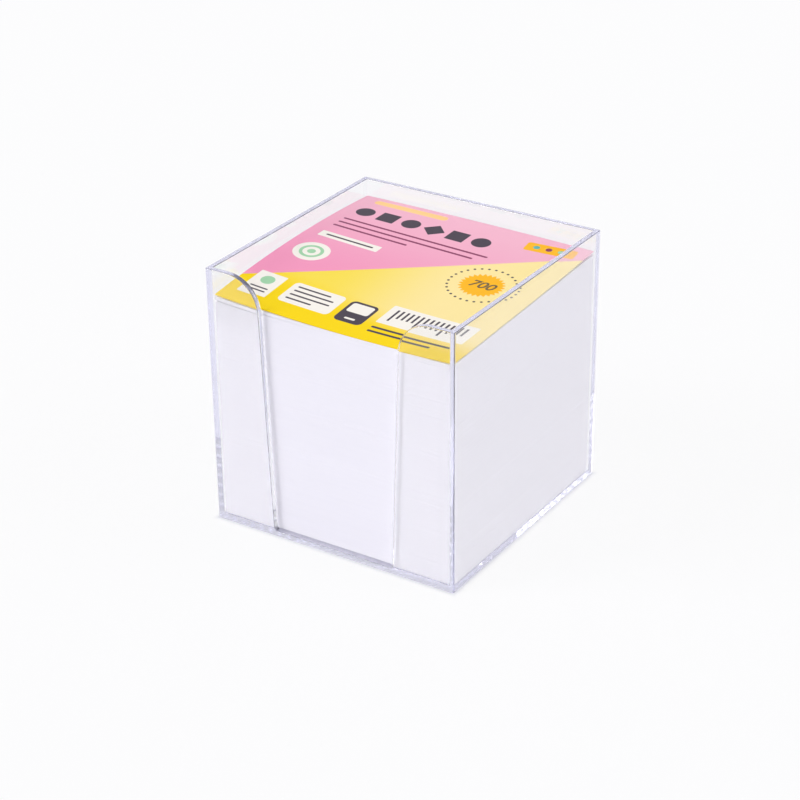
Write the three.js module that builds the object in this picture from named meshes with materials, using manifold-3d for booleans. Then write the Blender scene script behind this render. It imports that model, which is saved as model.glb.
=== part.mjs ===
// A clear memo holder: an open cube box with a tapered finger slot in its front wall,
// a stack of loose note sheets that stands in it, and a printed cover card on the stack.
// Millimetres, +Z up. The origin is the centre of the underside, and the slot faces -Y.

import * as THREE from "three";
import { mergeVertices } from "three/addons/utils/BufferGeometryUtils.js";
import Module from "manifold-3d";

const wasm = await Module();
wasm.setup();

// Sheets and their stack, which is pressed flatter at the front
const sheetWidth = 90;
const sheetDepth = 90;
const stackHeight = 81; // in its middle
const stackRise = 3.3; // how much higher the stack's back is than its front
const paperShare = 0.88; // of a sheet's place in the front of the stack; the rest is air
const sheetCount = 700;
const bundleSheetCount = 50; // sheets that one pinch takes, joined as one solid
const looseSheetCount = 10; // top sheets that are solids of their own
const wanderShare = 0.25; // of the sheets' clearance, how far a pile strays sideways
const wanderTurn = 2.4; // radians from one pile's stray to the next one's

// Cover card: how far its corners and the middles of its edges stand off the top sheet
const cardThickness = 0.3;
const cornerLift = { frontLeft: 2.1, frontRight: 0.7, backLeft: 2.6, backRight: 1.5 };
const edgeBow = { front: -1.3, back: 0.4, left: 2, right: -0.4 };
const cardSteps = 14;

// Box: its walls stand round the stack, so its outside follows from these
const sheetClearance = 0.4; // between the stack and each wall, down at the floor
const wallThickness = 2;
const wallDraft = 0.15; // how far each wall leans out from the floor to the rim
const floorThickness = 2;
const headroom = 10.6; // from the middle of the stack's top up to the rim
const outerCornerRadius = 0.7;
const innerCornerRadius = 0.2;
const baseEdgeRadius = 0.5;
const rimEdgeRadius = 0.3;
const floorFilletRadius = 0.2;
const roundSteps = 4;
const cornerSteps = 6;

// Finger slot in the front wall
const slotFootWidth = 47.3; // at the floor
const slotMouthWidth = 54.5; // where its sides would meet the rim
const wingRadius = 12; // the wings' rounded inner top corners
const slotFootRadius = 1.2;
const wingSteps = 20;

// Underside: flat, with the stub of the moulding gate sunk in a small dimple
const gateDimpleRadius = 4;
const gateDimpleDepth = 0.5;
const gateMarkRadius = 1.6;
const gateTipRadius = 0.9;
const gateMarkHeight = 0.3;
const gateSides = 24;

const cutOverrun = 3; // how far a cutter runs past what it cuts

// Sizes that follow
const frontPitch = (stackHeight - stackRise / 2) / sheetCount;
const backPitch = (stackHeight + stackRise / 2) / sheetCount;
const sheetThickness = frontPitch * paperShare;
const boxHeight = floorThickness + stackHeight + headroom;
const wander = sheetClearance * wanderShare;
const tightClearance = sheetClearance - wander;

const inner = {
  floorX: sheetWidth / 2 + sheetClearance,
  floorY: sheetDepth / 2 + sheetClearance,
  rimX: sheetWidth / 2 + sheetClearance + wallDraft,
  rimY: sheetDepth / 2 + sheetClearance + wallDraft,
};
const outer = {
  baseX: inner.floorX + wallThickness,
  baseY: inner.floorY + wallThickness,
  rimX: inner.rimX + wallThickness,
  rimY: inner.rimY + wallThickness,
};

// Materials

function clearPolystyrene() {
  return new THREE.MeshStandardMaterial({
    color: "#dcdaf0",
    roughness: 0.06,
    metalness: 0,
    transparent: true,
    opacity: 0.35,
  });
}

function offsetPaper() {
  return new THREE.MeshStandardMaterial({ color: "#f1f0f8", roughness: 0.9, metalness: 0 });
}

function glossCard() {
  return new THREE.MeshStandardMaterial({ color: "#f6d24a", roughness: 0.35, metalness: 0 });
}

// Solids

function solidFrom(geometry) {
  const bare = geometry.clone();
  bare.deleteAttribute("normal");
  bare.deleteAttribute("uv");
  const merged = mergeVertices(bare);
  return new wasm.Manifold(
    new wasm.Mesh({
      numProp: 3,
      vertProperties: merged.attributes.position.array,
      triVerts: new Uint32Array(merged.index.array),
    }),
  );
}

function geometryFrom(solid) {
  const mesh = solid.getMesh();
  const geometry = new THREE.BufferGeometry();
  geometry.setAttribute("position", new THREE.BufferAttribute(mesh.vertProperties, 3));
  geometry.setIndex(new THREE.BufferAttribute(mesh.triVerts, 1));
  geometry.computeVertexNormals();
  return geometry;
}

// One level of a lofted block: the points of a rounded rectangle, counter-clockwise
function roundedRing({ x, y, radius, z }) {
  const points = [];
  const corners = [[1, 1], [-1, 1], [-1, -1], [1, -1]];
  for (const [corner, [signX, signY]] of corners.entries()) {
    for (let step = 0; step <= cornerSteps; step += 1) {
      const angle = (corner + step / cornerSteps) * (Math.PI / 2);
      points.push(
        new THREE.Vector3(
          signX * (x - radius) + radius * Math.cos(angle),
          signY * (y - radius) + radius * Math.sin(angle),
          z,
        ),
      );
    }
  }
  return points;
}

// A closed block through rings that run from its lowest to its highest level
function loftedBlock(levels) {
  const rings = levels.map(roundedRing);
  const count = rings[0].length;
  const last = (rings.length - 1) * count;
  const index = [];
  for (let ring = 0; ring < rings.length - 1; ring += 1) {
    for (let i = 0; i < count; i += 1) {
      const a = ring * count + i;
      const b = ring * count + ((i + 1) % count);
      index.push(a, b, b + count, a, b + count, a + count);
    }
  }
  for (let i = 1; i < count - 1; i += 1) {
    index.push(0, i + 1, i);
    index.push(last, last + i, last + i + 1);
  }
  const geometry = new THREE.BufferGeometry().setFromPoints(rings.flat());
  geometry.setIndex(index);
  return geometry;
}

// The levels of a quarter-round edge, from where it starts to where it meets the wall
function quarterRound(steps, level) {
  return Array.from({ length: steps + 1 }, (_, step) => level((step / steps) * (Math.PI / 2)));
}

function boxOutside() {
  const base = quarterRound(roundSteps, (angle) => {
    const inset = baseEdgeRadius * (1 - Math.sin(angle));
    return {
      x: outer.baseX - inset,
      y: outer.baseY - inset,
      radius: outerCornerRadius - inset,
      z: baseEdgeRadius * (1 - Math.cos(angle)),
    };
  });
  const rim = quarterRound(roundSteps, (angle) => {
    const inset = rimEdgeRadius * (1 - Math.cos(angle));
    return {
      x: outer.rimX - inset,
      y: outer.rimY - inset,
      radius: outerCornerRadius - inset,
      z: boxHeight - rimEdgeRadius * (1 - Math.sin(angle)),
    };
  });
  return loftedBlock([...base, ...rim]);
}

function boxInside() {
  // A square sheet corner clears a wall fillet of this radius
  const cornerLimit = (tightClearance * Math.SQRT2) / (Math.SQRT2 - 1);
  const cornerRadius = Math.min(innerCornerRadius, cornerLimit);
  const fillet = Math.min(floorFilletRadius, tightClearance);
  const floor = quarterRound(roundSteps, (angle) => {
    const inset = fillet * (1 - Math.sin(angle));
    return {
      x: inner.floorX - inset,
      y: inner.floorY - inset,
      radius: cornerRadius,
      z: floorThickness + fillet * (1 - Math.cos(angle)),
    };
  });
  const rim = quarterRound(roundSteps, (angle) => {
    const flare = rimEdgeRadius * (1 - Math.cos(angle));
    return {
      x: inner.rimX + flare,
      y: inner.rimY + flare,
      radius: cornerRadius + flare,
      z: boxHeight - rimEdgeRadius * (1 - Math.sin(angle)),
    };
  });
  const mouth = { ...rim[rim.length - 1], z: boxHeight + cutOverrun };
  return loftedBlock([...floor, ...rim, mouth]);
}

// Runs a path up to a corner and round it, on an arc of this radius
function roundCorner(shape, before, corner, after, radius) {
  const back = before.clone().sub(corner).normalize();
  const on = after.clone().sub(corner).normalize();
  const half = Math.acos(THREE.MathUtils.clamp(back.dot(on), -1, 1)) / 2;
  const tangent = radius / Math.tan(half);
  const middle = back.clone().add(on).normalize().multiplyScalar(radius / Math.sin(half));
  const centre = corner.clone().add(middle);
  const start = corner.clone().addScaledVector(back, tangent).sub(centre);
  const end = corner.clone().addScaledVector(on, tangent).sub(centre);
  const clockwise = start.cross(end) < 0;
  shape.absarc(centre.x, centre.y, radius, start.angle(), end.angle(), clockwise);
}

// The slot's outline, seen from the front: narrow at the floor, wider at the rim,
// with each wing's top corner rounded off into it
function slotCutter() {
  const foot = slotFootWidth / 2;
  const mouth = slotMouthWidth / 2;
  const wing = Math.min(wingRadius, inner.rimX - mouth);
  const above = boxHeight + cutOverrun;
  const at = (x, z) => new THREE.Vector2(x, z);
  const middle = at(0, floorThickness);
  const rightFoot = at(foot, floorThickness);
  const rightMouth = at(mouth, boxHeight);
  const leftFoot = at(-foot, floorThickness);
  const leftMouth = at(-mouth, boxHeight);
  const shape = new THREE.Shape();
  shape.moveTo(0, floorThickness);
  roundCorner(shape, middle, rightFoot, rightMouth, slotFootRadius);
  roundCorner(shape, rightFoot, rightMouth, at(outer.rimX, boxHeight), wing);
  const right = shape.currentPoint.x;
  shape.lineTo(right, above);
  shape.lineTo(-right, above);
  shape.lineTo(-right, boxHeight);
  roundCorner(shape, at(-outer.rimX, boxHeight), leftMouth, leftFoot, wing);
  roundCorner(shape, leftMouth, leftFoot, middle, slotFootRadius);
  shape.closePath();
  const depth = cutOverrun + outer.rimY - sheetDepth / 2;
  const geometry = new THREE.ExtrudeGeometry(shape, {
    depth,
    bevelEnabled: false,
    curveSegments: wingSteps,
  });
  geometry.rotateX(Math.PI / 2);
  geometry.translate(0, -sheetDepth / 2, 0);
  return geometry;
}

// A round upright post between two heights, on the middle of the box
function uprightPost(topRadius, footRadius, foot, top) {
  const geometry = new THREE.CylinderGeometry(topRadius, footRadius, top - foot, gateSides);
  geometry.rotateX(Math.PI / 2);
  geometry.translate(0, 0, (foot + top) / 2);
  return geometry;
}

function gateDimple() {
  return uprightPost(gateDimpleRadius, gateDimpleRadius, -cutOverrun, gateDimpleDepth);
}

// The stub ends short of the table, and its root lies in the floor's thickness
function gateMark() {
  const foot = gateDimpleDepth - Math.min(gateMarkHeight, gateDimpleDepth);
  const root = (gateDimpleDepth + floorThickness) / 2;
  return uprightPost(gateMarkRadius, gateTipRadius, foot, root);
}

function boxSolid() {
  return solidFrom(boxOutside())
    .subtract(solidFrom(boxInside()))
    .subtract(solidFrom(slotCutter()))
    .subtract(solidFrom(gateDimple()))
    .add(solidFrom(gateMark()));
}

// The height that a sheet and its air take up, between the front and the back of the stack
function pitchAt(y) {
  return THREE.MathUtils.lerp(frontPitch, backPitch, (y + sheetDepth / 2) / sheetDepth);
}

// A square-cut pile, in its place above the floor: a slight wedge, as the whole stack is
function pileGeometry(sheetsBelow, sheets) {
  const geometry = new THREE.BoxGeometry(sheetWidth, sheetDepth, sheetThickness);
  const places = geometry.attributes.position;
  for (let i = 0; i < places.count; i += 1) {
    const pitch = pitchAt(places.getY(i));
    const top = (sheetsBelow + sheets) * pitch;
    const foot = (sheetsBelow + 1) * pitch - sheetThickness;
    places.setZ(i, places.getZ(i) > 0 ? top : foot);
  }
  geometry.computeVertexNormals();
  return geometry;
}

// How high the card stands off the top sheet, by its shares of the way right and back
function liftAt(right, back) {
  const across = 4 * right * (1 - right);
  const along = 4 * back * (1 - back);
  const { lerp } = THREE.MathUtils;
  const front = lerp(cornerLift.frontLeft, cornerLift.frontRight, right) + across * edgeBow.front;
  const rear = lerp(cornerLift.backLeft, cornerLift.backRight, right) + across * edgeBow.back;
  return lerp(front, rear, back) + along * lerp(edgeBow.left, edgeBow.right, right);
}

// The card as a bent plate: an upper and a lower grid, closed round the edge
function cardGeometry() {
  const side = cardSteps + 1;
  const layer = side * side;
  const points = [];
  for (const height of [0, cardThickness]) {
    for (let row = 0; row < side; row += 1) {
      for (let column = 0; column < side; column += 1) {
        const x = (column / cardSteps) * sheetWidth - sheetWidth / 2;
        const y = (row / cardSteps) * sheetDepth - sheetDepth / 2;
        const foot = (sheetCount + 1) * pitchAt(y) - sheetThickness;
        const lift = liftAt(column / cardSteps, row / cardSteps);
        points.push(new THREE.Vector3(x, y, foot + lift + height));
      }
    }
  }
  const index = [];
  const quad = (a, b, c, d) => index.push(a, b, c, a, c, d);
  for (let row = 0; row < cardSteps; row += 1) {
    for (let column = 0; column < cardSteps; column += 1) {
      const a = row * side + column;
      const b = a + 1;
      const c = b + side;
      const d = a + side;
      quad(a, d, c, b);
      quad(a + layer, b + layer, c + layer, d + layer);
    }
  }
  const last = cardSteps * side;
  for (let i = 0; i < cardSteps; i += 1) {
    quad(i, i + 1, i + 1 + layer, i + layer);
    quad(last + i + 1, last + i, last + i + layer, last + i + 1 + layer);
    quad((i + 1) * side, i * side, i * side + layer, (i + 1) * side + layer);
    const right = i * side + cardSteps;
    quad(right, right + side, right + side + layer, right + layer);
  }
  const geometry = new THREE.BufferGeometry().setFromPoints(points);
  geometry.setIndex(index);
  geometry.computeVertexNormals();
  return geometry;
}

// Assembly

function named(name, geometry, material) {
  const mesh = new THREE.Mesh(geometry, material);
  mesh.name = name;
  return mesh;
}

// A pile of paper, strayed sideways a little as loose sheets lie
function paperPile(stem, number, sheetsBelow, sheets, turn) {
  const name = stem + "_" + String(number).padStart(2, "0");
  const pile = named(name, pileGeometry(sheetsBelow, sheets), offsetPaper());
  pile.position.set(wander * Math.cos(turn * wanderTurn), wander * Math.sin(turn * wanderTurn), 0);
  return pile;
}

// Bundles up to the loose sheets, the last one with what is left, then the loose sheets
function paperStack() {
  const stack = new THREE.Group();
  stack.position.z = floorThickness;
  const bundled = sheetCount - looseSheetCount;
  const bundles = Math.ceil(bundled / bundleSheetCount);
  for (let bundle = 0; bundle < bundles; bundle += 1) {
    const below = bundle * bundleSheetCount;
    const sheets = Math.min(bundleSheetCount, bundled - below);
    stack.add(paperPile("sheet_bundle", bundle + 1, below, sheets, bundle));
  }
  for (let sheet = 0; sheet < looseSheetCount; sheet += 1) {
    stack.add(paperPile("loose_sheet", sheet + 1, bundled + sheet, 1, bundles + sheet));
  }
  stack.add(named("cover_card", cardGeometry(), glossCard()));
  return stack;
}

const memoHolder = new THREE.Group();
memoHolder.add(named("box", geometryFrom(boxSolid()), clearPolystyrene()));
memoHolder.add(paperStack());

export default memoHolder;
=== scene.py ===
import math
import random

import bmesh
import bpy
from mathutils import Euler, Matrix, Vector


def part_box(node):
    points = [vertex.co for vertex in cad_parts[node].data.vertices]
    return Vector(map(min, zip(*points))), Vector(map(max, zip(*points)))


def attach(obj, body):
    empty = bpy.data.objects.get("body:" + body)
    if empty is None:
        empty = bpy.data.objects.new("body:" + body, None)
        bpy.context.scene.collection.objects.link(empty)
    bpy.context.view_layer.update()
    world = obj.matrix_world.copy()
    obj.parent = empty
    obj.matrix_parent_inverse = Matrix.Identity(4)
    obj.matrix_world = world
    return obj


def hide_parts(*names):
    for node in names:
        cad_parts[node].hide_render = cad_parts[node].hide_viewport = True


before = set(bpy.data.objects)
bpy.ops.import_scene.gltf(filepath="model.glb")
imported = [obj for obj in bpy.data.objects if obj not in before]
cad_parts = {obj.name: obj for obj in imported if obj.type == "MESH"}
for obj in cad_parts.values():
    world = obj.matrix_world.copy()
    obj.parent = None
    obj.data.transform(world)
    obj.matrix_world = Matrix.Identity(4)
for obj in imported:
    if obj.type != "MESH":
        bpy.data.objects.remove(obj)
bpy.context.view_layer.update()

# Memo holder: a clear moulded box, 700 loose note sheets in it, and a printed card on top.
# Metres, +Z up, the finger slot faces -Y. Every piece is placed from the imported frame.

mm = 0.001
boxLow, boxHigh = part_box("box")
cardLow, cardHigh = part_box("cover_card")
sheetHalf = (cardHigh[0] - cardLow[0]) / 2


def linear(hexColour):
    # sRGB hex to linear RGBA
    channels = [int(hexColour[i : i + 2], 16) / 255 for i in (1, 3, 5)]
    return [c / 12.92 if c <= 0.04045 else ((c + 0.055) / 1.055) ** 2.4 for c in channels] + [1]


def addNode(tree, kind, settings=None, links=None):
    # settings are the node's own properties, links are its inputs' values or the outputs they take
    made = tree.nodes.new(kind)
    for name, value in (settings or {}).items():
        setattr(made, name, value)
    for socket, value in (links or {}).items():
        if isinstance(value, bpy.types.NodeSocket):
            tree.links.new(value, made.inputs[socket])
        else:
            made.inputs[socket].default_value = value
    return made


def newMaterial(name):
    material = bpy.data.materials.new(name)
    material.use_nodes = True
    material.node_tree.nodes.clear()
    return material, material.node_tree


def lerp(a, b, share):
    return a + (b - a) * share


# Modelling helpers: everything is selected in code, so nothing else is touched


def clearSelection():
    if bpy.context.object and bpy.context.object.mode != "OBJECT":
        bpy.ops.object.mode_set(mode="OBJECT")
    bpy.ops.object.select_all(action="DESELECT")


def startBlock(name, low, high):
    # a cube at its size and place, the place held in its mesh
    clearSelection()
    middle = [(a + b) / 2 for a, b in zip(low, high)]
    lengths = [b - a for a, b in zip(low, high)]
    bpy.ops.mesh.primitive_cube_add(size=1, location=middle, scale=lengths)
    block = bpy.context.object
    block.name = block.data.name = name
    bpy.ops.object.transform_apply(location=True, rotation=True, scale=True)
    return block


def pick(kind, test):
    # in edit mode, selects what passes the test and nothing else
    bpy.ops.mesh.select_mode(type=kind)
    bpy.ops.mesh.select_all(action="DESELECT")
    mesh = bmesh.from_edit_mesh(bpy.context.object.data)
    for part in {"VERT": mesh.verts, "EDGE": mesh.edges, "FACE": mesh.faces}[kind]:
        if test(part):
            part.select_set(True)
    mesh.select_flush_mode()
    bmesh.update_edit_mesh(bpy.context.object.data)


def upright(edge):
    a, b = (v.co for v in edge.verts)
    return abs(a.z - b.z) > 0.9 * (a - b).length


def roundEdges(test, radius, segments):
    pick("EDGE", test)
    bpy.ops.mesh.bevel(
        offset=radius, segments=segments, profile=0.5, affect="EDGES", clamp_overlap=False
    )


def combine(body, tool, operation):
    # cuts the tool out of the body or joins it on, and removes the tool
    clearSelection()
    bpy.context.view_layer.objects.active = body
    cut = body.modifiers.new(operation.title(), "BOOLEAN")
    cut.operation = operation
    cut.object = tool
    cut.solver = "EXACT"
    bpy.ops.object.modifier_apply(modifier=cut.name)
    bpy.data.objects.remove(tool)


def finishMesh(obj, smoothAngle=None):
    # every normal outwards, smooth across gentle edges only
    clearSelection()
    obj.select_set(True)
    bpy.context.view_layer.objects.active = obj
    bpy.ops.object.mode_set(mode="EDIT")
    bpy.ops.mesh.select_all(action="SELECT")
    bpy.ops.mesh.normals_make_consistent(inside=False)
    bpy.ops.object.mode_set(mode="OBJECT")
    if smoothAngle:
        bpy.ops.object.shade_smooth_by_angle(angle=math.radians(smoothAngle))


def dress(obj, materials, body, slot, *nodes):
    # materials on, carried by its body, shown in place of its CAD nodes
    obj.data.materials.clear()
    for material in materials:
        obj.data.materials.append(material)
    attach(obj, body)
    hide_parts(*nodes)


# Box

boxBuild = {
    "wall": 2 * mm,
    "draft": 0.15 * mm,  # each wall leans out by this from the floor to the rim
    "floor": 2 * mm,
    "outerCorner": 0.7 * mm,
    "innerCorner": 0.2 * mm,
    "baseEdge": 0.5 * mm,
    "rimEdge": 0.25 * mm,
    "slotFoot": 47.3 * mm,
    "slotMouth": 54.5 * mm,
    "wingRadius": 12 * mm,
    "slotFootRadius": 1.2 * mm,
    "gateDimple": 4 * mm,
    "dimpleDepth": 0.5 * mm,
    "gateMark": 1.6 * mm,
    "gateTip": 0.9 * mm,
    "gateDrop": 0.3 * mm,
    "overrun": 3 * mm,  # how far a cutting block runs past what it cuts
    "outlineEdge": 50,  # degrees; edges sharper than this are the rim's and the slot's outline
    "smoothEdge": 32,  # degrees; flatter edges are shaded smooth
}


def draftedBlock(name, halfTop, halfFoot, low, high):
    block = startBlock(name, (-halfTop, -halfTop, low), (halfTop, halfTop, high))
    bpy.ops.object.mode_set(mode="EDIT")
    pick("VERT", lambda v: v.co.z < (low + high) / 2)
    share = halfFoot / halfTop
    bpy.ops.transform.resize(value=(share, share, 1), center_override=(0, 0, low))
    return block


def startPost(name, footRadius, topRadius, low, high):
    clearSelection()
    middle = (0, 0, (low + high) / 2)
    bpy.ops.mesh.primitive_cone_add(
        vertices=48, radius1=footRadius, radius2=topRadius, depth=high - low, location=middle
    )
    bpy.context.object.name = name
    bpy.ops.object.transform_apply(location=True, rotation=True, scale=True)
    return bpy.context.object


def makeBox(material):
    s = boxBuild
    rim = boxHigh[2]
    half = boxHigh[0]
    over = s["overrun"]
    tiny = 0.01 * mm

    body = draftedBlock("holder_box", half, half - s["draft"], 0, rim)
    roundEdges(upright, s["outerCorner"], 8)
    roundEdges(lambda e: all(v.co.z < tiny for v in e.verts), s["baseEdge"], 5)

    # the hollow, with the walls' draft carried on above the rim
    lean = s["draft"] / (rim - s["floor"])
    mouthHalf = half - s["wall"] + lean * over
    footHalf = half - s["wall"] - s["draft"]
    hollow = draftedBlock("hollow", mouthHalf, footHalf, s["floor"], rim + over)
    roundEdges(upright, s["innerCorner"], 6)
    combine(body, hollow, "DIFFERENCE")

    # the finger slot: slanted sides, small rounds at its foot
    slant = (s["slotMouth"] - s["slotFoot"]) / 2 / (rim - s["floor"])
    slotTop = s["slotMouth"] / 2 + slant * over
    low, high = (-slotTop, -half - over, s["floor"]), (slotTop, -sheetHalf, rim + over)
    slot = startBlock("slot", low, high)
    bpy.ops.object.mode_set(mode="EDIT")
    pick("VERT", lambda v: v.co.z < s["floor"] + tiny)
    bpy.ops.transform.resize(value=(s["slotFoot"] / 2 / slotTop, 1, 1), center_override=(0, 0, 0))
    roundEdges(
        lambda e: all(v.co.z < s["floor"] + tiny for v in e.verts)
        and e.verts[0].co.x * e.verts[1].co.x > 0,
        s["slotFootRadius"],
        6,
    )
    combine(body, slot, "DIFFERENCE")

    # a dimple under the floor, and in it the stub that the moulding gate leaves, short of the table
    top, foot = (s["dimpleDepth"] + s["floor"]) / 2, s["dimpleDepth"] - s["gateDrop"]
    dimple = startPost("dimple", s["gateDimple"], s["gateDimple"], -over, s["dimpleDepth"])
    combine(body, dimple, "DIFFERENCE")
    stub = startPost("stub", s["gateTip"], s["gateMark"], foot, top)
    combine(body, stub, "UNION")

    # the wings' rounded corners, then every outline edge of the rim and the slot
    body.select_set(True)
    bpy.context.view_layer.objects.active = body
    bpy.ops.object.mode_set(mode="EDIT")
    bpy.ops.mesh.select_all(action="SELECT")
    bpy.ops.mesh.remove_doubles(threshold=0.002 * mm)
    bpy.ops.mesh.dissolve_limited(angle_limit=math.radians(0.3))
    turn = math.pi / 2 + math.atan(slant)
    reach = s["wingRadius"] / math.tan(turn / 2)
    roundEdges(
        lambda e: all(
            abs(v.co.z - rim) < tiny
            and v.co.y < -sheetHalf
            and abs(abs(v.co.x) - s["slotMouth"] / 2) < 0.5 * mm
            for v in e.verts
        ),
        reach,
        28,
    )
    roundEdges(
        lambda e: e.is_convex
        and len(e.link_faces) == 2
        and e.calc_face_angle() > math.radians(s["outlineEdge"])
        and min(v.co.z for v in e.verts) > s["floor"] - tiny,
        s["rimEdge"],
        3,
    )
    finishMesh(body, s["smoothEdge"])
    weight = body.modifiers.new("FlatWalls", "WEIGHTED_NORMAL")
    weight.keep_sharp = True
    weight.weight = 100
    bpy.ops.object.modifier_apply(modifier=weight.name)
    dress(body, [material], "box", "clear_polystyrene", "box")
    print("box:", len(body.data.polygons), "faces")
    return body


# Sheets

sheetBuild = {
    "count": 700,
    "stackFront": 79.35 * mm,  # the stack's height in front and behind
    "stackBack": 82.65 * mm,
    "paperShare": 0.88,  # of a sheet's place in the front of the stack; the rest is air
    "bundle": 50,
    "loose": 10,
    "stray": 0.03 * mm,  # how far a sheet strays from its bundle
    "groupStray": 0.04 * mm,  # how far a few sheets stray together
    "group": 9,
    "bendSteps": 12,
}
sheetThickness = sheetBuild["stackFront"] / sheetBuild["count"] * sheetBuild["paperShare"]
strays = random.Random(700)


def sheetHeight(number, y):
    # the underside of a sheet, counted from the floor
    s = sheetBuild
    pitch = lerp(s["stackFront"], s["stackBack"], (y + sheetHalf) / (2 * sheetHalf)) / s["count"]
    return boxBuild["floor"] + (number + 1) * pitch - sheetThickness


def makeBundle(node, first, count, material):
    # one thin sheet, repeated by an array, then each copy strayed and laid on the slanting pile
    s = sheetBuild
    low, high = (-sheetHalf, -sheetHalf, 0), (sheetHalf, sheetHalf, sheetThickness)
    bundle = startBlock(node.replace("sheet_bundle", "note_sheets"), low, high)
    if first + count > s["count"] - cardBuild["curlDepth"]:
        bpy.ops.object.mode_set(mode="EDIT")
        pick("EDGE", lambda e: not upright(e))
        bpy.ops.mesh.subdivide(number_cuts=s["bendSteps"] - 1)
        bpy.ops.object.mode_set(mode="OBJECT")
    array = bundle.modifiers.new("Sheets", "ARRAY")
    array.use_relative_offset = False
    array.use_constant_offset = True
    array.constant_offset_displace = (0, 0, 2 * sheetThickness)
    array.count = count
    bpy.ops.object.modifier_apply(modifier=array.name)
    offsets = []
    for i in range(count):
        if i % s["group"] == 0:
            group = Vector((strays.uniform(-1, 1), strays.uniform(-1, 1))) * s["groupStray"]
        offsets.append(group + Vector((strays.uniform(-1, 1), strays.uniform(-1, 1))) * s["stray"])
    for v in bundle.data.vertices:
        i = int((v.co.z + sheetThickness / 2) / (2 * sheetThickness))
        face = sheetThickness if v.co.z - 2 * i * sheetThickness > sheetThickness / 2 else 0
        v.co.z = sheetHeight(first + i, v.co.y) + curlAt(first + i, v.co.x, v.co.y) + face
        v.co.x += offsets[i].x
        v.co.y += offsets[i].y
    dress(bundle, [material], node, "note_paper", node)
    return bundle


# Card

cardBuild = {
    "thickness": 0.3 * mm,
    "cornerLift": {
        "frontLeft": 2.7 * mm,
        "frontRight": 0.7 * mm,
        "backLeft": 2.6 * mm,
        "backRight": 1.5 * mm,
    },
    "edgeBow": {"front": -1.5 * mm, "back": 0.4 * mm, "left": 2 * mm, "right": -0.4 * mm},
    "bendSteps": 48,
    "sheetShare": 0.8,  # of the card's lift, how far the top sheet follows it on the left
    "sheetDrop": 0.006,  # and how much less each sheet under it does
    "rightShare": 0.4,  # how much of that they do on the right
    "pileShare": 0.58,  # how far the sheets under the loose ones follow it
    "curlDepth": 110,  # sheets that curl, less and less; the ones below lie flat
    "curlFade": 2.4,  # power of that fading
}


def liftAt(x, y):
    # how high the card stands off the top sheet: its corners' lifts and its edges' bows, blended
    right = min(1, max(0, (x + sheetHalf) / (2 * sheetHalf)))
    back = min(1, max(0, (y + sheetHalf) / (2 * sheetHalf)))
    corner, bow = cardBuild["cornerLift"], cardBuild["edgeBow"]
    across, along = 4 * right * (1 - right), 4 * back * (1 - back)
    front = lerp(corner["frontLeft"], corner["frontRight"], right) + across * bow["front"]
    rear = lerp(corner["backLeft"], corner["backRight"], right) + across * bow["back"]
    return lerp(front, rear, back) + along * lerp(bow["left"], bow["right"], right)


def curlAt(number, x, y):
    # how high a sheet near the top follows the card's curl
    s = cardBuild
    depth = sheetBuild["count"] - number
    if depth > s["curlDepth"]:
        return 0
    share = s["sheetShare"] - s["sheetDrop"] * depth
    loose = sheetBuild["loose"]
    if depth > loose:
        share = s["pileShare"] * (1 - (depth - loose) / (s["curlDepth"] - loose)) ** s["curlFade"]
    return share * lerp(1, s["rightShare"], (x + sheetHalf) / (2 * sheetHalf)) * liftAt(x, y)


def bentPlate(name, steps, thickness, heightAt):
    # a flat grid laid on a height, then given its thickness upwards
    clearSelection()
    bpy.ops.mesh.primitive_grid_add(x_subdivisions=steps, y_subdivisions=steps, size=2 * sheetHalf)
    plate = bpy.context.object
    plate.name = plate.data.name = name
    for v in plate.data.vertices:
        v.co.z = heightAt(v.co.x, v.co.y)
    solid = plate.modifiers.new("Thickness", "SOLIDIFY")
    solid.thickness = thickness
    solid.offset = 1
    solid.material_offset = 1
    solid.material_offset_rim = 2
    bpy.ops.object.modifier_apply(modifier=solid.name)
    finishMesh(plate, 30)
    return plate


def makeLooseSheet(node, number, material):
    sheet = bentPlate(
        node.replace("loose_sheet", "top_sheet"),
        sheetBuild["bendSteps"],
        sheetThickness,
        lambda x, y: sheetHeight(number, y) + curlAt(number, x, y),
    )
    stray = Vector((strays.uniform(-1, 1), strays.uniform(-1, 1), 0)) * sheetBuild["stray"]
    sheet.data.transform(Matrix.Translation(stray))
    dress(sheet, [material] * 3, node, "note_paper", node)
    return sheet


def makeCard(printed, board):
    card = bentPlate(
        "cover_card_print",
        cardBuild["bendSteps"],
        cardBuild["thickness"],
        lambda x, y: sheetHeight(sheetBuild["count"], y) + liftAt(x, y),
    )
    dress(card, [printed, board, board], "cover_card", "gloss_card", "cover_card")
    return card


# Materials

polystyreneLook = {
    "colour": "#fbfbfc",
    "ior": 1.59,
    "haze": 0.03,
    "edgeTint": "#c4c2f2",  # seen through the long way of the walls
    "edgeDensity": 3.8,
    "waveSize": 14 * mm,
    "waveHeight": 0.004 * mm,
}


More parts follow.
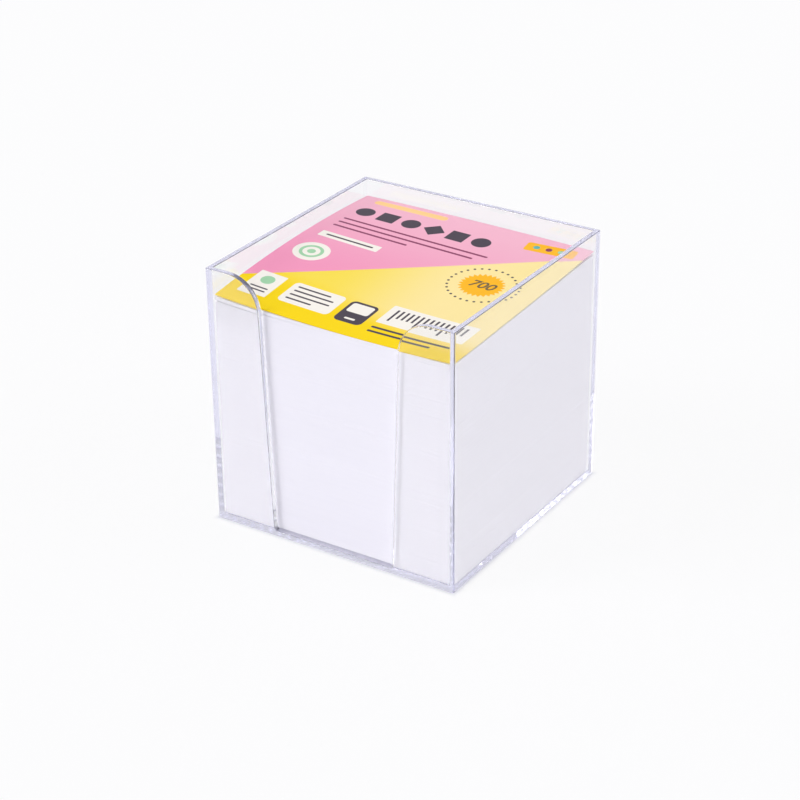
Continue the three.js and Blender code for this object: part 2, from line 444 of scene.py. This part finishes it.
def clearPolystyrene():
    # injection-moulded crystal polystyrene: water-clear across a wall, lavender along it
    look = polystyreneLook
    material, tree = newMaterial("clear_polystyrene_moulded")
    place = addNode(tree, "ShaderNodeTexCoord")
    wave = addNode(
        tree,
        "ShaderNodeTexNoise",
        None,
        {"Vector": place.outputs["Object"], "Scale": 1 / look["waveSize"], "Detail": 2.0},
    )
    bump = addNode(
        tree,
        "ShaderNodeBump",
        None,
        {"Height": wave.outputs["Fac"], "Distance": look["waveHeight"], "Strength": 1.0},
    )
    surface = addNode(
        tree,
        "ShaderNodeBsdfPrincipled",
        None,
        {
            "Base Color": linear(look["colour"]),
            "Roughness": look["haze"],
            "IOR": look["ior"],
            "Transmission Weight": 1.0,
            "Normal": bump.outputs["Normal"],
        },
    )
    depth = addNode(
        tree,
        "ShaderNodeVolumeAbsorption",
        None,
        {"Color": linear(look["edgeTint"]), "Density": look["edgeDensity"]},
    )
    ends = {"Surface": surface.outputs[0], "Volume": depth.outputs[0]}
    addNode(tree, "ShaderNodeOutputMaterial", None, ends)
    return material


paperLook = {
    "light": "#f7f5fb",
    "shade": "#f4f2f9",
    "streakHeight": 0.7 * mm,  # about six sheets, since one alone is under a pixel
    "streakLength": 30 * mm,
    "fibre": 0.35 * mm,
    "fibreHeight": 0.02 * mm,
    "fibreStrength": 0.3,
    "roughness": 0.92,
    "gloss": 0.2,
}


def offsetPaper():
    # uncoated 80 g/m2 note paper with brightener: matt, bluish white, cut edges in fine streaks
    look = paperLook
    material, tree = newMaterial("note_paper_uncoated")
    place = addNode(tree, "ShaderNodeTexCoord")
    stretch = addNode(
        tree,
        "ShaderNodeMapping",
        None,
        {
            "Vector": place.outputs["Object"],
            "Scale": (1 / look["streakLength"], 1 / look["streakLength"], 1 / look["streakHeight"]),
        },
    )
    streak = addNode(
        tree,
        "ShaderNodeTexNoise",
        None,
        {"Vector": stretch.outputs[0], "Scale": 1.0, "Detail": 3.0},
    )
    fibre = addNode(
        tree,
        "ShaderNodeTexNoise",
        None,
        {"Vector": place.outputs["Object"], "Scale": 1 / look["fibre"], "Detail": 3.0},
    )
    colour = addNode(
        tree,
        "ShaderNodeMix",
        {"data_type": "RGBA"},
        {"Factor": streak.outputs["Fac"], 6: linear(look["shade"]), 7: linear(look["light"])},
    )
    bump = addNode(
        tree,
        "ShaderNodeBump",
        None,
        {
            "Height": fibre.outputs["Fac"],
            "Distance": look["fibreHeight"],
            "Strength": look["fibreStrength"],
        },
    )
    surface = addNode(
        tree,
        "ShaderNodeBsdfPrincipled",
        None,
        {
            "Base Color": colour.outputs[2],
            "Roughness": look["roughness"],
            "Specular IOR Level": look["gloss"],
            "Normal": bump.outputs["Normal"],
        },
    )
    addNode(tree, "ShaderNodeOutputMaterial", None, {"Surface": surface.outputs[0]})
    return material


boardLook = {"light": "#f6f5fa", "shade": "#e6e4ea", "fibre": 0.4 * mm, "roughness": 0.8}


def cardBoard():
    # uncoated bleached board, pressed from fibres: matt white back and cut edge of the card
    look = boardLook
    material, tree = newMaterial("white_board_uncoated")
    place = addNode(tree, "ShaderNodeTexCoord")
    fibre = addNode(
        tree,
        "ShaderNodeTexNoise",
        None,
        {"Vector": place.outputs["Object"], "Scale": 1 / look["fibre"], "Detail": 3.0},
    )
    colour = addNode(
        tree,
        "ShaderNodeMix",
        {"data_type": "RGBA"},
        {"Factor": fibre.outputs["Fac"], 6: linear(look["shade"]), 7: linear(look["light"])},
    )
    surface = addNode(
        tree,
        "ShaderNodeBsdfPrincipled",
        None,
        {"Base Color": colour.outputs[2], "Roughness": look["roughness"]},
    )
    addNode(tree, "ShaderNodeOutputMaterial", None, {"Surface": surface.outputs[0]})
    return material


# Card print: lengths in millimetres from the card's middle, x to the right, y to the back

# the far pink and yellow are paler tints of the near ones: painted glare on the card
printColours = {
    "pinkNear": "#f097bc",
    "pinkFarGlare": "#f1b5cb",
    "yellowNear": "#f6d400",
    "yellowLeft": "#f6dc50",
    "yellowFarGlare": "#f9e4a0",
    "white": "#f4efe8",
    "ink": "#4c4450",
    "plum": "#8a3f63",
    "orange": "#fbb81e",
    "peach": "#fcd08c",
    "leaf": "#9fd0a8",
    "teal": "#58b3b0",
}
# the fades below are where painted glare pales the fields, front to back and left to right
printFields = {
    "splitLeft": -31,  # the two colours meet on a line between these heights
    "splitRight": 37,
    "pinkGlareFade": (-20.0, 45.0),  # front to back
    "yellowGlareFade": (-22.0, 22.0),  # left to right
    "frontBand": (-36.0, -22.0),  # the strongest yellow, along the front edge
    "soft": 0.08,  # half the width of a printed edge
}
printLook = {"roughness": 0.45, "gloss": 0.08, "lamination": 0.06, "laminationRoughness": 0.12}
sunBuild = {
    "place": (26.5, 4.5),
    "radius": 8.0,
    "teeth": 26,
    "toothSlope": 2.6,
    "soft": 0.1,
    "ringRadius": 11.6,
    "ringDots": 30,
    "dotRadius": (0.55, 0.4),  # where a dot fades out and where it is full
}


def printedCard():
    # offset print under gloss film lamination: flat inks, a clear smooth coat, and painted glare
    # that pales the fields towards the back and right
    material, tree = newMaterial("card_print_laminated")
    place = addNode(tree, "ShaderNodeTexCoord")
    fields, soft, sun = printFields, printFields["soft"], sunBuild
    inks = {name: linear(tint) for name, tint in printColours.items()}
    vector, number = "ShaderNodeVectorMath", "ShaderNodeMath"
    links = {0: place.outputs["Object"], 1: (1 / mm, 1 / mm, 0)}
    flat = addNode(tree, vector, {"operation": "MULTIPLY"}, links).outputs[0]

    def lay(under, over, value, outside, inside):
        # lays a colour on another where the value has passed from outside to inside
        links = {0: value, 1: outside, 2: inside, 3: 0.0, 4: 1.0}
        mask = addNode(tree, "ShaderNodeMapRange", {"interpolation_type": "SMOOTHSTEP"}, links)
        links = {"Factor": mask.outputs[0], 6: under, 7: over}
        return addNode(tree, "ShaderNodeMix", {"data_type": "RGBA"}, links).outputs[2]

    def fade(under, over, direction, start, end):
        # one colour turns into another along a direction on the card
        way = addNode(tree, vector, {"operation": "DOT_PRODUCT"}, {0: flat, 1: direction})
        return lay(under, over, way.outputs["Value"], start, end)

    def patch(under, colour, x, y, width, height, radius=0.0, turn=0.0):
        # a rounded rectangle, or a disc when its radius is half its width
        at = addNode(tree, vector, {"operation": "SUBTRACT"}, {0: flat, 1: (x, y, 0)}).outputs[0]
        if turn:
            links = {"Vector": at, "Angle": -math.radians(turn)}
            settings = {"rotation_type": "Z_AXIS"}
            at = addNode(tree, "ShaderNodeVectorRotate", settings, links).outputs[0]
        corner = (width / 2 - radius, height / 2 - radius, 0)
        for operation, value in [("ABSOLUTE", None), ("SUBTRACT", corner), ("MAXIMUM", (0, 0, 0))]:
            links = {0: at, 1: value} if value else {0: at}
            at = addNode(tree, vector, {"operation": operation}, links).outputs[0]
        reach = addNode(tree, vector, {"operation": "LENGTH"}, {0: at}).outputs["Value"]
        return lay(under, inks[colour], reach, radius + soft, radius - soft if radius else 0.0)

    # the two fields, each stronger towards the front, and the yellow one towards the left: towards
    # the back and right they are paled by painted glare
    slope = (fields["splitRight"] - fields["splitLeft"]) / (2 * sheetHalf / mm)
    middle = (fields["splitRight"] + fields["splitLeft"]) / 2
    pink = fade(inks["pinkNear"], inks["pinkFarGlare"], (0, 1, 0), *fields["pinkGlareFade"])
    yellow = fade(inks["yellowLeft"], inks["yellowFarGlare"], (1, 0.1, 0), *fields["yellowGlareFade"])
    yellow = fade(inks["yellowNear"], yellow, (0.15, 1, 0), *fields["frontBand"])
    colour = fade(yellow, pink, (-slope, 1, 0), middle - soft, middle + soft)

    # a row of plain solid shapes, and ruled lines under it
    corners = [(3.5, 0), (0.3, 0), (3.5, 0), (0.3, 45), (0.3, 0), (3.5, 0)]
    for i, (radius, turn) in enumerate(corners):
        size = 7.0 if not turn else 6.0
        colour = patch(colour, "ink", -36.5 + 9.4 * i, 31.0, size, size, radius, turn)
    for y, length in [(22.5, 58.0), (19.2, 54.0), (15.9, 30.0)]:
        colour = patch(colour, "plum", -40.0 + length / 2, y, length, 1.0, 0.5)
    colour = patch(colour, "peach", -24.0, 41.0, 30.0, 3.2, 1.6)
    colour = patch(colour, "white", -28.0, 8.0, 24.0, 4.2, 0.4)
    colour = patch(colour, "ink", -28.0, 8.0, 19.0, 0.9, 0.45)
    # a round sticker with plain rings
    for tint, width in [("white", 13.0), ("leaf", 8.6), ("white", 6.2), ("leaf", 3.0)]:
        colour = patch(colour, tint, -34.5, -5.5, width, width, width / 2)
    # a tag near the back right corner
    colour = patch(colour, "orange", 33.0, 38.0, 17.0, 6.0, 1.0, 6)
    for i, tint in enumerate(["teal", "plum", "leaf"]):
        colour = patch(colour, tint, 28.5 + 4.5 * i, 37.6 + 0.45 * i, 2.4, 2.4, 1.2)
    # panels on the yellow field
    colour = patch(colour, "white", -35.5, -32.0, 10.5, 14.0, 0.4)
    colour = patch(colour, "leaf", -35.5, -29.5, 5.0, 5.0, 2.5)
    for i in range(2):
        colour = patch(colour, "ink", -35.5, -34.6 - 1.8 * i, 7.0, 0.7, 0.35)
    colour = patch(colour, "white", -16.5, -31.5, 20.0, 12.5, 1.8)
    for i, length in enumerate([13.0, 15.5, 15.5, 10.0]):
        colour = patch(colour, "ink", -24.5 + length / 2, -27.6 - 2.5 * i, length, 0.8, 0.4)
    colour = patch(colour, "ink", 1.2, -32.0, 10.5, 13.0, 2.0)
    colour = patch(colour, "white", 1.2, -29.4, 8.3, 5.6, 1.0)
    colour = patch(colour, "white", 1.2, -36.0, 4.0, 1.0, 0.4)
    # a panel with a measuring scale
    colour = patch(colour, "white", 25.0, -27.5, 31.0, 12.0, 0.4)
    for i in range(14):
        tall = 7.6 if i % 5 == 0 else 5.2
        colour = patch(colour, "ink", 12.5 + 1.9 * i, -23.6 - tall / 2, 0.8, tall, 0.1)
    for i, length in enumerate([30.0, 24.0]):
        colour = patch(colour, "ink", 10.0 + length / 2, -36.6 - 2.6 * i, length, 1.1, 0.5)

    # a sunburst in a ring of dots
    links = {0: flat, 1: (*sun["place"], 0)}
    fromSun = addNode(tree, vector, {"operation": "SUBTRACT"}, links).outputs[0]
    reach = addNode(tree, vector, {"operation": "LENGTH"}, {0: fromSun}).outputs["Value"]
    parts = addNode(tree, "ShaderNodeSeparateXYZ", None, {0: fromSun})
    links = {0: parts.outputs[1], 1: parts.outputs[0]}
    angle = addNode(tree, number, {"operation": "ARCTAN2"}, links).outputs[0]
    waves = []  # 0 at each tooth's tip and each dot's middle, 0.5 half way to the next
    for count in [sun["teeth"], sun["ringDots"]]:
        links = {0: angle, 1: count / math.tau}
        turns = addNode(tree, number, {"operation": "MULTIPLY"}, links).outputs[0]
        links = {0: turns, 1: 0.5}
        waves.append(addNode(tree, number, {"operation": "PINGPONG"}, links).outputs[0])
    links = {0: waves[0], 1: sun["toothSlope"], 2: reach}
    edge = addNode(tree, number, {"operation": "MULTIPLY_ADD"}, links).outputs[0]
    sunEdge = sun["radius"] + sun["soft"], sun["radius"] - sun["soft"]
    colour = lay(colour, inks["orange"], edge, *sunEdge)
    links = {0: waves[1], 1: math.tau * sun["ringRadius"] / sun["ringDots"]}
    alongRing = addNode(tree, number, {"operation": "MULTIPLY"}, links).outputs[0]
    links = {0: reach, 1: sun["ringRadius"]}
    acrossRing = addNode(tree, number, {"operation": "SUBTRACT"}, links).outputs[0]
    dot = addNode(tree, "ShaderNodeCombineXYZ", None, {0: alongRing, 1: acrossRing}).outputs[0]
    fromMiddle = addNode(tree, vector, {"operation": "LENGTH"}, {0: dot}).outputs["Value"]
    colour = lay(colour, inks["ink"], fromMiddle, *sun["dotRadius"])

    surface = addNode(
        tree,
        "ShaderNodeBsdfPrincipled",
        None,
        {
            "Base Color": colour,
            "Roughness": printLook["roughness"],
            "Specular IOR Level": printLook["gloss"],
            "Coat Weight": printLook["lamination"],
            "Coat Roughness": printLook["laminationRoughness"],
        },
    )
    addNode(tree, "ShaderNodeOutputMaterial", None, {"Surface": surface.outputs[0]})
    return material


inkLook = {"light": "#7a6430", "shade": "#6b5626", "grain": 0.3 * mm, "roughness": 0.45}


def printInk():
    # offset ink of the count, rolled on thin: brown, a little uneven
    look = inkLook
    material, tree = newMaterial("print_ink_offset")
    place = addNode(tree, "ShaderNodeTexCoord")
    grain = addNode(
        tree,
        "ShaderNodeTexNoise",
        None,
        {"Vector": place.outputs["Object"], "Scale": 1 / look["grain"], "Detail": 2.0},
    )
    colour = addNode(
        tree,
        "ShaderNodeMix",
        {"data_type": "RGBA"},
        {"Factor": grain.outputs["Fac"], 6: linear(look["shade"]), 7: linear(look["light"])},
    )
    surface = addNode(
        tree,
        "ShaderNodeBsdfPrincipled",
        None,
        {"Base Color": colour.outputs[2], "Roughness": look["roughness"]},
    )
    addNode(tree, "ShaderNodeOutputMaterial", None, {"Surface": surface.outputs[0]})
    return material


countBuild = {"size": 6.2 * mm, "bold": 0.12 * mm, "slant": 0.2, "proud": 0.02 * mm}


def makeCount(material):
    # the number of sheets, in the middle of the sunburst, laid on the bent card
    clearSelection()
    x, y = sunBuild["place"]
    bpy.ops.object.text_add(location=(x * mm, y * mm, 0))
    count = bpy.context.object
    count.data.body = str(sheetBuild["count"])
    count.data.size = countBuild["size"]
    count.data.offset = countBuild["bold"]
    count.data.shear = countBuild["slant"]
    count.data.align_x = count.data.align_y = "CENTER"
    bpy.ops.object.convert(target="MESH")
    count = bpy.context.object
    count.name = count.data.name = "card_count"
    bpy.ops.object.transform_apply(location=True, rotation=True, scale=True)
    bpy.ops.object.mode_set(mode="EDIT")
    bpy.ops.mesh.select_all(action="SELECT")
    bpy.ops.mesh.remove_doubles(threshold=0.001 * mm)
    rise = {"value": (0, 0, countBuild["proud"])}
    bpy.ops.mesh.extrude_region_move(TRANSFORM_OT_translate=rise)
    bpy.ops.object.mode_set(mode="OBJECT")
    number, thickness = sheetBuild["count"], cardBuild["thickness"]
    for v in count.data.vertices:
        v.co.z += sheetHeight(number, v.co.y) + liftAt(v.co.x, v.co.y) + thickness
    finishMesh(count)
    count.data.materials.append(material)
    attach(count, "cover_card")
    return count


# Build

polystyrene = clearPolystyrene()
paper = offsetPaper()
makeBox(polystyrene)

bundled = sheetBuild["count"] - sheetBuild["loose"]
for index, first in enumerate(range(0, bundled, sheetBuild["bundle"])):
    sheets = min(sheetBuild["bundle"], bundled - first)
    makeBundle(f"sheet_bundle_{index + 1:02d}", first, sheets, paper)
for index in range(sheetBuild["loose"]):
    makeLooseSheet(f"loose_sheet_{index + 1:02d}", bundled + index, paper)
print("sheets:", sheetBuild["count"])
makeCard(printedCard(), cardBoard())
makeCount(printInk())
print("card printed")


# Studio

studio = {
    "azimuth": 32.85,
    "elevation": 27.2,
    "roll": -0.62,
    "lens": 100,
    "sensor": 36,
    "place": (0.3653, -0.5705, 0.3854),
    "floor": "#dedee8",
    "floorSize": 80,
    "floorDrop": 0.1 * mm,  # under the box, so that its underside stays a surface of its own
    "whiteFrom": 45.5 * mm,  # outwards the floor is seen as white, with a little of its shadow
    "whiteTo": 49.5 * mm,
    "whiteShare": 0.9,
    # painted light: for these deep rays the floor under the walls glows white, standing in for the
    # light the walls carry down to it
    "pipedFrom": 8,  # bounces from which light that ran down inside a wall finds the floor pale
    "pipedTo": 14,
    "pipedShare": 0.8,
    "skyLevel": 0.72,
    "softboxes": [(-47, 32, 1.4), (113, 32, 0.6)],  # azimuth from the front, elevation and strength
    "softboxAngle": 30,
    "bounces": 96,  # light runs the long way down inside the walls
}


def makeStudio():
    scene = bpy.context.scene
    scene.view_settings.view_transform = "Standard"
    world = bpy.data.worlds.new("studio_sky")
    scene.world = world
    world.use_nodes = True
    tree = world.node_tree
    tree.nodes.clear()
    links = {"Color": (1, 1, 1, 1), "Strength": studio["skyLevel"]}
    sky = addNode(tree, "ShaderNodeBackground", None, links)
    addNode(tree, "ShaderNodeOutputWorld", None, {"Surface": sky.outputs[0]})

    clearSelection()
    place = (0, 0, -studio["floorDrop"])
    bpy.ops.mesh.primitive_plane_add(size=studio["floorSize"], location=place)
    floor = bpy.context.object
    floor.name = "studio_floor"
    material, tree = newMaterial("studio_floor_white")
    matt = addNode(tree, "ShaderNodeBsdfDiffuse", None, {"Color": linear(studio["floor"])})
    path = addNode(tree, "ShaderNodeLightPath")
    larger = {"operation": "MAXIMUM"}
    seen = path.outputs["Is Camera Ray"]
    for ray in ["Is Glossy Ray", "Is Transmission Ray"]:
        seen = addNode(tree, "ShaderNodeMath", larger, {0: seen, 1: path.outputs[ray]}).outputs[0]
    place = addNode(tree, "ShaderNodeTexCoord")
    reach = addNode(
        tree, "ShaderNodeVectorMath", {"operation": "ABSOLUTE"}, {0: place.outputs["Object"]}
    )
    sides = addNode(tree, "ShaderNodeSeparateXYZ", None, {0: reach.outputs[0]})
    reach = addNode(tree, "ShaderNodeMath", larger, {0: sides.outputs[0], 1: sides.outputs[1]})
    shares = []
    # the floor glows white where seen outside the box as a plain backdrop, and for deep rays under
    # its walls as painted light
    for value, kind in [(reach.outputs[0], "white"), (path.outputs["Ray Depth"], "piped")]:
        low, high, most = (studio[kind + end] for end in ["From", "To", "Share"])
        links = {0: value, 1: low, 2: high, 3: 0.0, 4: most}
        settings = {"interpolation_type": "SMOOTHSTEP"}
        shares.append(addNode(tree, "ShaderNodeMapRange", settings, links).outputs[0])
    share = addNode(tree, "ShaderNodeMath", larger, {0: shares[0], 1: shares[1]})
    links = {0: seen, 1: share.outputs[0]}
    share = addNode(tree, "ShaderNodeMath", {"operation": "MULTIPLY"}, links)
    white = addNode(tree, "ShaderNodeEmission", None, {"Color": (1, 1, 1, 1), "Strength": 1.0})
    links = {0: share.outputs[0], 1: matt.outputs[0], 2: white.outputs[0]}
    both = addNode(tree, "ShaderNodeMixShader", None, links)
    addNode(tree, "ShaderNodeOutputMaterial", None, {"Surface": both.outputs[0]})
    floor.data.materials.append(material)

    # a large soft light on each side of the camera
    for azimuth, elevation, strength in studio["softboxes"]:
        lamp = bpy.data.lights.new("softbox", "SUN")
        lamp.energy = strength
        lamp.angle = math.radians(studio["softboxAngle"])
        softbox = bpy.data.objects.new("softbox", lamp)
        softbox.rotation_euler = (math.radians(90 - elevation), 0, math.radians(azimuth))
        scene.collection.objects.link(softbox)

    camera = bpy.data.objects.new("camera", bpy.data.cameras.new("camera"))
    camera.data.lens = studio["lens"]
    camera.data.sensor_width = studio["sensor"]
    camera.data.clip_start = 0.01
    camera.location = studio["place"]
    tilt, azimuth = math.radians(90 - studio["elevation"]), math.radians(studio["azimuth"])
    turn = Euler((tilt, 0, azimuth), "XYZ").to_matrix()
    turn = turn @ Euler((0, 0, math.radians(studio["roll"]))).to_matrix()
    camera.rotation_euler = turn.to_euler()
    scene.collection.objects.link(camera)
    scene.camera = camera
    scene.cycles.transmission_bounces = studio["bounces"]
    scene.cycles.max_bounces = studio["bounces"]
    scene.cycles.glossy_bounces = studio["bounces"]
    scene.cycles.blur_glossy = 0


makeStudio()
print("studio set")
